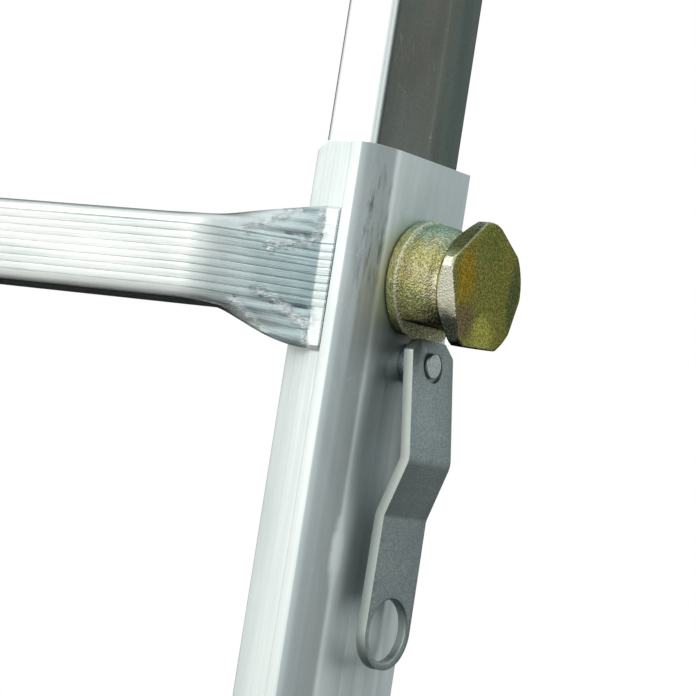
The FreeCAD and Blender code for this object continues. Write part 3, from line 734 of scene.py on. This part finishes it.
def makePlainMetal(name, light, dull, roughness, scale):
    material, tree, place = newFinish(name)
    where = place["Object"]
    skin = placeGroup(tree, grain, where, {"Scale": scale})
    rubbed = placeGroup(tree, edgeWear, where, {"Radius": 0.0005})["Mask"]
    color = mixColors(tree, skin["Speckle"], dull, light)
    color = mixColors(tree, multiply(tree, rubbed, 0.6), color, (0.88, 0.89, 0.88))
    roughness = (roughness + 0.1, roughness)
    setShader(tree, color, skin["Speckle"], roughness, skin["Height"], (0.25, 0.0001))
    return material


def makeMoulded(name, plain, dusty, roughness, scale):
    material, tree, place = newFinish(name)
    where = place["Object"]
    skin = placeGroup(tree, grain, where, {"Scale": scale})
    tone = placeGroup(tree, blotches, where, {"Scale": 45.0, "Stretch": (1.0, 1.0, 1.0)})["Value"]
    rubbed = placeGroup(tree, edgeWear, where, {"Radius": 0.0012, "Roughness": 400.0})["Mask"]
    dust = multiply(tree, tone, blendValues(tree, skin["Speckle"], 0.2, 0.6))
    color = mixColors(tree, calculate(tree, "MAXIMUM", dust, rubbed), plain, dusty)
    setShader(tree, color, tone, (roughness, roughness + 0.15), skin["Height"], (0.3, 0.0003), 0.0)
    return material


plainMetals = {     # light, dull, roughness, scale of the grain
    "inner_rung_aluminium": ((0.86, 0.87, 0.87), (0.66, 0.69, 0.69), 0.28, 1500.0),
    "rivet_aluminium": ((0.80, 0.81, 0.81), (0.60, 0.62, 0.62), 0.34, 2200.0),
    "zinc_steel": ((0.56, 0.60, 0.60), (0.36, 0.40, 0.40), 0.36, 2400.0),
    "spring_steel": ((0.62, 0.62, 0.62), (0.42, 0.42, 0.43), 0.25, 3000.0),
}

moulded = {         # plain, dusty, roughness, scale of the grain
    "black_rubber": ((0.022, 0.022, 0.024), (0.10, 0.10, 0.098), 0.62, 1400.0),
    "black_plastic": ((0.020, 0.020, 0.022), (0.07, 0.07, 0.072), 0.42, 2000.0),
}


def camelCase(words):
    first, *rest = words.split("_")
    return first + "".join(word.capitalize() for word in rest)


finishes = {
    "stile_aluminium": makeStileAluminium(),
    "rung_aluminium": makeRungAluminium(),
    "inner_aluminium": makeInnerAluminium(),
    "yellow_chromate": makeYellowChromate(),
    "lever_zinc": makeLeverZinc(),
}
for slotName, values in plainMetals.items():
    finishes[slotName] = makePlainMetal(camelCase(slotName), *values)
for slotName, values in moulded.items():
    finishes[slotName] = makeMoulded(camelCase(slotName), *values)
print("finishes")


# pieces

bodies = frame["record"]["behaviour"]["bodies"]
bodyOf = {node: body for body, nodes in bodies.items() for node in nodes}


def addPiece(name, bm, node, slotName, sharpAngle=32.0):
    piece = meshObject(name, bm)
    piece.data.shade_smooth()
    piece.data.set_sharp_from_angle(angle=math.radians(sharpAngle))
    piece.data.materials.append(finishes[slotName])
    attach(piece, bodyOf[node])
    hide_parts(node)


def cleanCopy(node):
    # merged copy of a design solid, with flat faces whole again
    bm = bmesh.new()
    bm.from_mesh(frame["nodes"][node].data)
    bmesh.ops.remove_doubles(bm, verts=bm.verts, dist=2e-6)
    bmesh.ops.dissolve_limit(bm, angle_limit=math.radians(0.6), verts=bm.verts, edges=bm.edges)
    bmesh.ops.recalc_face_normals(bm, faces=bm.faces)
    return bm


def roundEdges(bm, degrees, width):
    limit = math.radians(degrees)
    sharp = [e for e in bm.edges if len(e.link_faces) == 2 and e.calc_face_angle() > limit]
    bmesh.ops.bevel(bm, geom=sharp, offset=width, offset_type="OFFSET", affect="EDGES",
                    segments=2, profile=0.5, material=-1, clamp_overlap=True)


def ringEdges(bm, ring):
    return [bm.edges.get((ring[i - 1], ring[i])) for i in range(len(ring))]


def extrudeRing(bm, ring):
    # one more ring of points, joined to this one all round
    made = bmesh.ops.extrude_edge_only(bm, edges=ringEdges(bm, ring))["geom"]
    fresh = {v for v in made if isinstance(v, bmesh.types.BMVert)}
    return [next(e.other_vert(v) for e in v.link_edges if e.other_vert(v) in fresh) for v in ring]


# outer rung: grooved tube whose ends are crushed flat on the stiles

rungShape = {
    "tubeHalf": 0.0155,
    "tubeDepth": 0.0300,
    "grooves": 9,
    "groovePitch": 0.0028,
    "grooveWidth": 0.00052,
    "grooveDepth": 0.00055,
    "ribCrown": 0.00010,        # how far each rib's edges lie behind its middle
    "corner": 0.0040,
    "cornerSteps": 5,
    "sideSteps": 14,            # points along the top, back and bottom faces
    "tongueIn": 0.0168,         # from the web: the flat tongue begins here
    "pressIn": 0.0590,          # the front face starts to bend back
    "pressSoft": 0.45,          # share of the bend that is a slow curve
    "flareIn": (0.0550, 0.0700),        # the bottom and the top start to spread
    "lowFlare": 1.04,           # how much sooner the bottom has spread
    "highFlare": 1.5,           # how late the top spreads
    "collapse": 1.8,            # how early the tube closes along the bend
    "crushSteps": 76,
    "tongueReach": (0.0262, 0.0250),    # of the tongue below and above its middle
    "tongueThick": 0.0024,
    "valley": 0.0010,           # fold beside the front face in the crush: depth
    "valleyAt": 0.0010,
    "valleyWidth": 0.0011,
    "bandHalf": 0.0116,         # half of the front face that keeps its height in the crush
    "foldDepth": 0.00032,
    "foldCount": 3.6,           # lengthwise folds across each flank
    "foldSway": 0.9,
    "flankLead": 0.0005,        # where the folds begin beside the front face
    "flankSoft": 0.0030,
    # crumpled lines: (in from the end, height) to (in from the end, height)
    "creases": (
        (0.0260, 0.0125, 0.0130, 0.0224),
        (0.0200, 0.0068, 0.0070, 0.0130),
        (0.0270, -0.0143, 0.0170, -0.0250),
        (0.0210, -0.0080, 0.0070, -0.0180),
        (0.0062, 0.0140, 0.0060, 0.0240),
        (0.0060, -0.0150, 0.0060, -0.0255),
    ),
    "creaseWidth": 0.0014,
    "creaseWander": 0.0012,
    "creaseRipple": (0.0012, 0.0003),   # uneven and even part of how far a crease goes back
    "dents": 0.0003,
    "creaseFree": (0.0045, 0.0075),     # from the end: none up to here, all of it from there
    "tongueShares": (0.08, 0.2, 0.4, 0.6, 0.8, 0.93, 0.98, 1.0),
    "tonguePressed": 0.3,       # how much of the crush's look the tongue has
    "lipLength": 0.0005,        # rounded end of the tongue
    "lipBack": 0.0006,
    "seedStep": 3.7,            # gives each rung its own crumples
}


def rungOutline(depth, half):
    # (depth behind the front face, height) round the tube, from the middle of its back
    corner = rungShape["corner"]
    turns = rungShape["cornerSteps"]
    steps = rungShape["sideSteps"]
    points = []

    def addCorner(centreDepth, centreHeight, startAngle):
        for i in range(turns + 1):
            angle = math.radians(startAngle - 90 * i / turns)
            points.append((centreDepth + corner * math.cos(angle),
                           centreHeight + corner * math.sin(angle)))

    def addSide(height, start, end):
        for i in range(1, steps):
            points.append((start + (end - start) * i / steps, height))

    points += [(depth, -(half - corner) * i / steps) for i in range(steps)]
    addCorner(depth - corner, corner - half, 0)
    addSide(-half, depth - corner, corner)
    addCorner(corner, corner - half, -90)
    grooves = rungShape["grooves"]
    pitch = rungShape["groovePitch"]
    width = rungShape["grooveWidth"] / 2
    deep = rungShape["grooveDepth"]
    crown = rungShape["ribCrown"]
    for i in range(grooves):
        height = (i - (grooves - 1) / 2) * pitch
        points += [(crown, height - width), (deep, height), (crown, height + width)]
        if i < grooves - 1:
            points.append((0, height + pitch / 2))
    addCorner(corner, half - corner, 180)
    addSide(half, corner, depth - corner)
    addCorner(depth - corner, half - corner, 90)
    points += [(depth, (half - corner) * (steps - i) / steps) for i in range(1, steps)]
    return points


def tonguePoint(depth, height, tubeDepth, tubeHalf, frontGap):
    # where a point of the tube's outline comes to lie once the end is flat
    band = rungShape["bandHalf"]
    thick = rungShape["tongueThick"]
    side = 1 if height >= 0 else -1
    half = rungShape["tongueReach"][height >= 0]
    front = depth < tubeDepth / 2
    if abs(height) <= band:
        reach = abs(height)
    else:
        climb = abs(height) - band
        travel = depth if front else tubeDepth - depth
        whole = (tubeHalf - band) + tubeDepth / 2
        reach = band + (half - band) * (climb + travel) / whole
    edge = max(0.0, reach - (half - thick / 2)) / (thick / 2)
    bulge = thick / 2 * math.sqrt(max(0.0, 1 - edge * edge))
    middleDepth = frontGap + thick / 2
    groove = depth if front and abs(height) <= band else 0.0
    return (middleDepth - bulge + groove if front else middleDepth + bulge), side * reach


def smoothStep(value):
    value = min(1.0, max(0.0, value))
    return value * value * (3 - 2 * value)


def makeOuterRung(number):
    shape = rungShape
    node = "outer_rung_%d" % number
    low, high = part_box(node)
    centreZ = (low.z + high.z) / 2
    panelY, frontY, endX = high.y, low.y, high.x
    tubeHalf, tubeDepth = shape["tubeHalf"], shape["tubeDepth"]
    frontGap = panelY - shape["tongueThick"] - frontY
    flatX = webX - shape["tongueIn"]
    startX = webX - max(shape["flareIn"])
    outline = rungOutline(tubeDepth, tubeHalf)
    flat = [tonguePoint(depth, height, tubeDepth, tubeHalf, frontGap) for depth, height in outline]
    lengths = [0.0]
    for (depth0, height0), (depth1, height1) in zip(outline, outline[1:]):
        lengths.append(lengths[-1] + math.hypot(depth1 - depth0, height1 - height0))
    steps = shape["crushSteps"]
    stations = [startX + (flatX - startX) * i / steps for i in range(steps + 1)]
    stations += [flatX + (endX - flatX) * share for share in shape["tongueShares"]]
    stations = [-x for x in reversed(stations)] + stations
    bm = bmesh.new()
    layers = bm.verts.layers.float
    crush, pressed, girth = [layers.new(name) for name in ("crush", "pressed", "girth")]
    ring = [bm.verts.new((stations[0], frontY + depth, centreZ + height))
            for depth, height in outline]
    for i in range(len(ring)):
        bm.edges.new((ring[i - 1], ring[i]))
    rings = [ring]
    for station in stations[1:]:
        rings.append(extrudeRing(bm, rings[-1]))
    seed = Vector((0.0, 0.0, shape["seedStep"] * number))
    for x, ring in zip(stations, rings):
        away = abs(x)
        press = bendShare(alongCrush(away, flatX, shape["pressIn"]))
        collapse = 1 - (1 - press) ** shape["collapse"]
        lowFlare, highFlare = [alongCrush(away, flatX, start) for start in shape["flareIn"]]
        flares = smoothStep(lowFlare * shape["lowFlare"]), highFlare ** shape["highFlare"]
        lip = shape["lipBack"] * max(0.0, 1 - (endX - away) / shape["lipLength"]) ** 2
        for vert, here, there, around in zip(ring, outline, flat, lengths):
            (depth, height), (flatDepth, flatHeight) = here, there
            y = frontGap * press + depth + (flatDepth - frontGap - depth) * collapse
            z = height + (flatHeight - height) * flares[height >= 0]
            creased = 0.0
            if depth < tubeDepth / 2:
                creased, wrinkle = crumpleAt(endX - away, z, press, seed)
                y += wrinkle + lip
            vert[girth] = around
            vert[crush] = creased
            vert[pressed] = press if away < flatX else shape["tonguePressed"]
            vert.co = (x, frontY + min(y, panelY - frontY), centreZ + z)
    for ring in (rings[0], rings[-1]):
        bmesh.ops.contextual_create(bm, geom=ringEdges(bm, ring))
    bmesh.ops.remove_doubles(bm, verts=bm.verts, dist=1e-6)
    bmesh.ops.recalc_face_normals(bm, faces=bm.faces)
    addPiece("outerRung%d" % number, bm, node, "rung_aluminium", 40.0)


def alongCrush(away, flatX, startIn):
    # 0 where a change starts, 1 at the tongue
    return min(1.0, max(0.0, (away - webX + startIn) / (flatX - webX + startIn)))


def bendShare(along):
    # a slow curve into a straight slope that stops short at the tongue
    soft = rungShape["pressSoft"]
    gain = 1 / (1 - soft / 2)
    return gain * (along * along / (2 * soft) if along < soft else along - soft / 2)


def crumpleAt(inFromEnd, height, press, seed):
    # how creased the crushed metal is at a point, and how far that moves it back
    if press <= 0:
        return 0.0, 0.0
    shape = rungShape

    def uneven(alongScale, heightScale, layer):
        return noise.noise(Vector((inFromEnd * alongScale, height * heightScale, 0)) + layer)

    here = Vector((inFromEnd, height))
    creased = 0.0
    for x0, z0, x1, z1 in shape["creases"]:
        start, along = Vector((x0, z0)), Vector((x1 - x0, z1 - z0))
        share = min(1.0, max(0.0, (here - start).dot(along) / along.length_squared))
        wander = shape["creaseWander"] * noise.noise(Vector((share * 9, x0 * 900, 0)) + seed)
        gap = (here - start - along * share).length + wander
        creased = max(creased, math.exp(-(gap / shape["creaseWidth"]) ** 2))
    beyond = abs(height) - shape["bandHalf"]
    flank = smoothStep((beyond + shape["flankLead"]) / shape["flankSoft"])
    bare, full = shape["creaseFree"]
    fading = press * (1 - smoothStep((full - inFromEnd) / (full - bare)))
    reach = beyond / (max(shape["tongueReach"]) - shape["bandHalf"])
    wave = math.tau * shape["foldCount"] * reach + shape["foldSway"] * uneven(60, 30, seed)
    fold = math.sin(wave) * shape["foldDepth"]
    valley = (beyond - shape["valleyAt"]) / shape["valleyWidth"]
    valley = shape["valley"] * math.exp(-valley ** 2)
    dent = shape["dents"] * uneven(140, 160, Vector((0, 0, 1)))
    ripple, even = shape["creaseRipple"]
    shift = fading * (flank * fold + valley + dent)
    return creased * fading ** 0.5, shift + creased * (ripple * uneven(700, 900, seed) + even)


for number in range(1, 5):
    makeOuterRung(number)
print("outer rungs")


# knob: a spool with a five-sided cap

knobShape = {
    "lipRadius": 0.0230,
    "lipWidth": 0.0048,
    "skirtRadius": 0.0219,
    "skirtEnd": 0.0090,
    "waistRadius": 0.0179,
    "waistAt": 0.0185,
    "capRadius": 0.0243,
    "capBack": 0.0240,
    "capFace": 0.0285,
    "faceWall": 0.0030,
    "boreRadius": 0.00905,
    "recessRadius": 0.0162,
    "recessDepth": 0.0026,
    "lipRound": 0.0008,
    "stepRound": 0.0004,
    "faceRound": 0.0010,
    "capFlats": ((203, 0.0199), (131, 0.0212), (59, 0.0222), (-18, 0.0226), (-87, 0.0213)),
    "lipFlat": 0.0196,
    "skirtFlat": 0.0150,
    "segments": 128,
    "grid": 0.00035,            # spacing of the finished skin
    "soften": 3,
}


def spinKnob():
    shape = knobShape
    lip, skirt, waist, cap, bore, recess = [
        shape[name + "Radius"] for name in ("lip", "skirt", "waist", "cap", "bore", "recess")]
    lipEnd, skirtEnd = shape["lipWidth"], shape["skirtEnd"]
    waistAt, face = shape["waistAt"], shape["capFace"]
    lipRound, stepRound, faceRound = shape["lipRound"], shape["stepRound"], shape["faceRound"]
    inside = face - shape["faceWall"]
    profile = [
        (0.0, recess),
        (0.0, lip - lipRound),
        (lipRound, lip),
        (lipEnd - stepRound, lip),
        (lipEnd, lip - stepRound),
        (lipEnd + 0.0006, skirt),
        (skirtEnd, skirt),
        (skirtEnd + 0.0032, skirt - 0.0007),
        (skirtEnd + 0.0064, skirt - 0.0021),
        (waistAt - 0.0012, waist + 0.0003),
        (waistAt, waist),
        (waistAt + 0.0008, waist + 0.0004),
        (shape["capBack"], cap),
        (face - faceRound, cap),
        (face, cap - faceRound),
        (face, 0.0),
        (inside, 0.0),
        (inside, bore),
        (shape["recessDepth"], bore),
        (shape["recessDepth"], recess),
    ]
    bm = bmesh.new()
    verts = [bm.verts.new((lock.x + out, lock.y, lock.z + radius)) for out, radius in profile]
    edges = [bm.edges.new(pair) for pair in zip(verts, verts[1:] + verts[:1])]
    bmesh.ops.spin(bm, geom=verts + edges, cent=lock, axis=(1, 0, 0), angle=math.tau,
                   steps=shape["segments"], use_merge=True)
    bmesh.ops.remove_doubles(bm, verts=bm.verts, dist=1e-6)
    bmesh.ops.recalc_face_normals(bm, faces=bm.faces)
    return bm


def knobCutters():
    # blocks that cut the cap's five flats and the two flats on the underside
    shape = knobShape
    reach = 0.08
    blocks = []
    for direction, apothem in shape["capFlats"]:
        turn = Matrix.Rotation(math.radians(direction), 4, "X")
        away = turn @ Vector((0, apothem + reach / 2, 0))
        start, end = shape["waistAt"], shape["capFace"] + 0.002
        blocks.append((Vector(((start + end) / 2, 0, 0)) + away, turn, (end - start, reach, reach)))
    for start, end, drop in ((-0.002, shape["lipWidth"], shape["lipFlat"]),
                             (shape["lipWidth"], shape["waistAt"] + 0.0010, shape["skirtFlat"])):
        blocks.append((Vector(((start + end) / 2, 0, -drop - reach / 2)),
                       Matrix.Identity(4), (end - start, reach, reach)))
    cutters = []
    for place, turn, size in blocks:
        bm = bmesh.new()
        bmesh.ops.create_cube(bm, size=1.0)
        bmesh.ops.scale(bm, vec=size, verts=bm.verts)
        bmesh.ops.transform(bm, matrix=Matrix.Translation(lock + place) @ turn, verts=bm.verts)
        cutters.append(meshObject("cutter", bm))
    return cutters


def castKnob():
    # spun body, flats cut, then one even skin with softened corners
    spool = meshObject("spool", spinKnob())
    cutters = knobCutters()
    for cutter in cutters:
        cut = spool.modifiers.new("flat", "BOOLEAN")
        cut.object = cutter
        cut.operation = "DIFFERENCE"
        cut.solver = "EXACT"
    skin = spool.modifiers.new("skin", "REMESH")
    skin.mode = "VOXEL"
    skin.voxel_size = knobShape["grid"]
    soften = spool.modifiers.new("soften", "SMOOTH")
    soften.factor = 0.5
    soften.iterations = knobShape["soften"]
    graph = bpy.context.evaluated_depsgraph_get()
    skinned = bpy.data.meshes.new_from_object(spool.evaluated_get(graph))
    for spare in cutters + [spool]:
        bpy.data.objects.remove(spare)
    return skinned


def makeKnobs():
    skinned = castKnob()
    shape = knobShape
    for side in ("right", "left"):
        bm = bmesh.new()
        bm.from_mesh(skinned)
        sand = bm.verts.layers.float.new("sand")
        for vert in bm.verts:
            out = vert.co.x - lock.x
            rough = 1.0 - smoothStep((out - shape["waistAt"] + 0.001) / 0.004)
            vert[sand] = 0.45 + 0.55 * rough
        if side == "left":
            bmesh.ops.scale(bm, vec=(-1, 1, 1), verts=bm.verts)
            bmesh.ops.reverse_faces(bm, faces=bm.faces)
        addPiece(side + "Knob", bm, side + "_lock_knob", "yellow_chromate", 180.0)


makeKnobs()
print("knobs")


# inner rung: round tube with grip flutes and a swaged bead at each stile

fluteShape = {
    "radius": 0.0120,
    "wall": 0.0016,
    "flutes": 30,
    "fluteDepth": 0.00045,
    "bead": 0.0145,
    "beadWidth": 0.0030,
    "beadRound": 0.0009,
    "plainEnd": 0.0060,         # smooth stretch beside each bead
    "runOut": 0.0040,           # where the flutes fade out
    "boreIn": 0.0300,
}


def makeInnerRung(number):
    node = "inner_rung_%d" % number
    low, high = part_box(node)
    centre = (low + high) / 2
    shape = fluteShape
    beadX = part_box("right_inner_stile")[0].x
    bead, width, plain = shape["bead"], shape["beadWidth"], shape["plainEnd"]
    radius, inside, depth = shape["radius"], shape["radius"] - shape["wall"], shape["fluteDepth"]
    beadRound = bead - shape["beadRound"]
    right = [(beadX - back, r, d) for back, r, d in (
        (width + plain + shape["runOut"], radius, depth),
        (width + plain, radius, 0.0),
        (width, radius, 0.0),
        (width * 0.93, beadRound, 0.0),
        (width * 0.72, bead, 0.0),
        (width * 0.28, bead, 0.0),
        (width * 0.07, beadRound, 0.0),
        (0.0, radius, 0.0),
    )]
    right += [(high.x, radius, 0.0), (high.x, inside, 0.0), (high.x - shape["boreIn"], inside, 0.0)]
    stations = [(-x, r, d) for x, r, d in reversed(right)] + right
    bm = bmesh.new()
    segments = shape["flutes"] * 4
    turn = Matrix.Rotation(math.pi / 2, 4, "Y")
    ring = bmesh.ops.create_circle(bm, segments=segments, radius=1.0, matrix=turn)["verts"]
    rings = [ring]
    for station in stations[1:]:
        rings.append(extrudeRing(bm, rings[-1]))
    for ring, (x, r, d) in zip(rings, stations):
        for i, vert in enumerate(ring):
            reach = r - (d if i % 4 in (2, 3) else 0.0)
            vert.co = (x, centre.y + vert.co.y * reach, centre.z + vert.co.z * reach)
    bmesh.ops.holes_fill(bm, edges=bm.edges, sides=0)
    bmesh.ops.recalc_face_normals(bm, faces=bm.faces)
    addPiece("innerRung%d" % number, bm, node, "inner_rung_aluminium", 24.0)


for number in range(1, 6):
    makeInnerRung(number)
print("inner rungs")


# the rest keep their design shape; all but the springs have their corners eased

easedParts = {      # finish, width of an eased corner, angle from which corners are eased
    "outer_stile": ("stile_aluminium", 0.00022, 50),
    "inner_stile": ("inner_aluminium", 0.00018, 50),
    "catch_lever": ("lever_zinc", 0.00030, 50),
    "lever_post": ("zinc_steel", 0.00020, 50),
    "lock_barrel": ("zinc_steel", 0.00020, 50),
    "barrel_plug": ("zinc_steel", 0.00015, 50),
    "lock_bolt": ("zinc_steel", 0.00020, 35),
    "lock_spring": ("spring_steel", 0.0, 50),
    "shoe": ("black_rubber", 0.0011, 50),
    "top_cap": ("black_plastic", 0.0008, 50),
    "bottom_plug": ("black_plastic", 0.0008, 50),
}


def addEased(node, slotName, ease, angle):
    bm = cleanCopy(node)
    if ease > 0:
        roundEdges(bm, angle, ease)
    addPiece(camelCase(node), bm, node, slotName)


for part, setup in easedParts.items():
    for side in ("right", "left"):
        addEased("%s_%s" % (side, part), *setup)
for node in ("shoe_rivets", "barrel_rivets"):
    addEased(node, "rivet_aluminium", 0.00020, 50)
print("stiles, lock, levers, shoes and caps")


bpy.context.view_layer.update()
